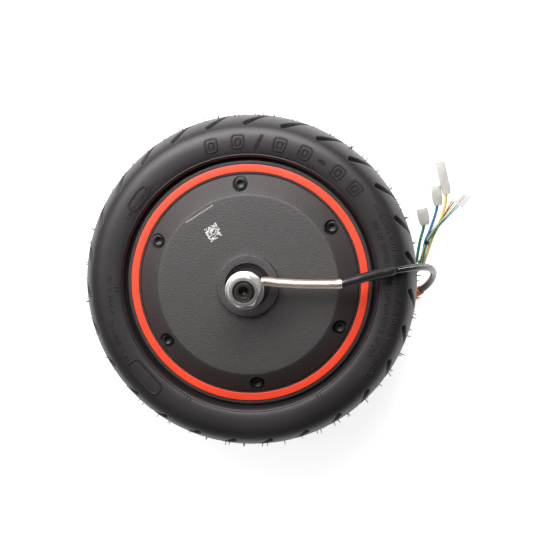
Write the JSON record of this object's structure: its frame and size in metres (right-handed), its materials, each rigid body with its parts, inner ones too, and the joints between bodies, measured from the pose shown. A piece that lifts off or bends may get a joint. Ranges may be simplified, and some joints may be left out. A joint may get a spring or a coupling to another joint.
{
  "type": "hub motor wheel",
  "caption": "Small pneumatic tyre on a black drum hub motor with a red-orange accent ring, threaded axle with nuts, and an armoured motor cable ending in phase and sensor connectors.",
  "frame": {"origin": "on the axle line, in the plane of the far end of the axle and its nut, which the wheel stands on when it lies flat", "axes": "+Z along the axle out of the cable side; +X towards the side where the cable leaves over the tyre"},
  "size_m": [0.2932, 0.25, 0.132],
  "materials": {
    "tyre": "matte rubber",
    "powder_black": "cast aluminium with textured black powder coat",
    "accent_red": "satin red-orange",
    "plated_nut": "bright plated",
    "black_steel": "blackened, oiled",
    "core_steel": "laminated steel",
    "hub_aluminium": "as cast",
    "magnet": "nickel plated",
    "copper": "enamelled copper",
    "black_rubber": "matte",
    "board_green": "solder mask",
    "bearing_steel": "ground",
    "guard_steel": "coiled spring steel",
    "end_sleeve_orange": "satin",
    "wire_green": "satin insulation",
    "wire_blue": "satin insulation",
    "wire_yellow": "satin insulation",
    "lead_grey": "bundle of five thin strands",
    "clear_sleeve": "milky translucent",
    "white_housing": "moulded nylon",
    "terminal": "tinned brass"
  },
  "bodies": {
    "axle": {"axle_nut_cable_side": "plated_nut", "axle_nut_far_side": "plated_nut", "axle": "black_steel", "stator_core": "core_steel", "stator_hub": "hub_aluminium", "stator_winding": "copper", "cable_jacket": "black_rubber", "shrink_sleeve": "black_rubber", "cable_grommet": "black_rubber", "hall_sensor_board": "board_green", "bearing_inner_ring_cable_side": "bearing_steel", "bearing_inner_ring_far_side": "bearing_steel", "spring_guard": "guard_steel", "jacket_end_sleeve": "end_sleeve_orange", "phase_wire_green": "wire_green", "phase_sleeve_green": "clear_sleeve", "phase_terminal_green": "terminal", "phase_wire_blue": "wire_blue", "phase_sleeve_blue": "clear_sleeve", "phase_terminal_blue": "terminal", "phase_wire_yellow": "wire_yellow", "phase_sleeve_yellow": "clear_sleeve", "phase_terminal_yellow": "terminal", "hall_lead": "lead_grey", "hall_connector": "white_housing"},
    "wheel": {"tyre": "tyre", "rim": "powder_black", "flux_ring": "core_steel", "magnet_set": "magnet", "cover_cable_side": "powder_black", "cover_far_side": "powder_black", "cover_gasket_cable_side": "black_rubber", "cover_gasket_far_side": "black_rubber", "accent_ring_cable_side": "accent_red", "accent_ring_far_side": "accent_red", "bearing_outer_ring_cable_side": "bearing_steel", "bearing_outer_ring_far_side": "bearing_steel", "shaft_seal_cable_side": "black_rubber", "shaft_seal_far_side": "black_rubber", "valve_stem": "terminal", "valve_cap": "black_rubber", "cover_screw_cable_side_1": "black_steel", "cover_screw_cable_side_2": "black_steel", "cover_screw_cable_side_3": "black_steel", "cover_screw_cable_side_4": "black_steel", "cover_screw_cable_side_5": "black_steel", "cover_screw_cable_side_6": "black_steel", "cover_screw_far_side_1": "black_steel", "cover_screw_far_side_2": "black_steel", "cover_screw_far_side_3": "black_steel", "cover_screw_far_side_4": "black_steel", "cover_screw_far_side_5": "black_steel", "cover_screw_far_side_6": "black_steel"},
    "ball_cage_cable_side": {"ball_cage_cable_side": "bearing_steel"},
    "ball_cage_far_side": {"ball_cage_far_side": "bearing_steel"}
  },
  "joints": [
    {"name": "wheel_spin", "type": "hinge", "parent": "axle", "child": "wheel", "pos_m": [0, 0, 0.056], "axis": [0, 0, 1], "continuous": true},
    {"name": "cage_spin_cable_side", "type": "hinge", "parent": "axle", "child": "ball_cage_cable_side", "pos_m": [0, 0, 0.0853], "axis": [0, 0, 1], "continuous": true},
    {"name": "cage_spin_far_side", "type": "hinge", "parent": "axle", "child": "ball_cage_far_side", "pos_m": [0, 0, 0.0267], "axis": [0, 0, 1], "continuous": true}
  ],
  "couplings": [
    {"joint": "cage_spin_cable_side", "follows": "wheel_spin", "ratio": 0.5915},
    {"joint": "cage_spin_far_side", "follows": "wheel_spin", "ratio": 0.5915}
  ]
}
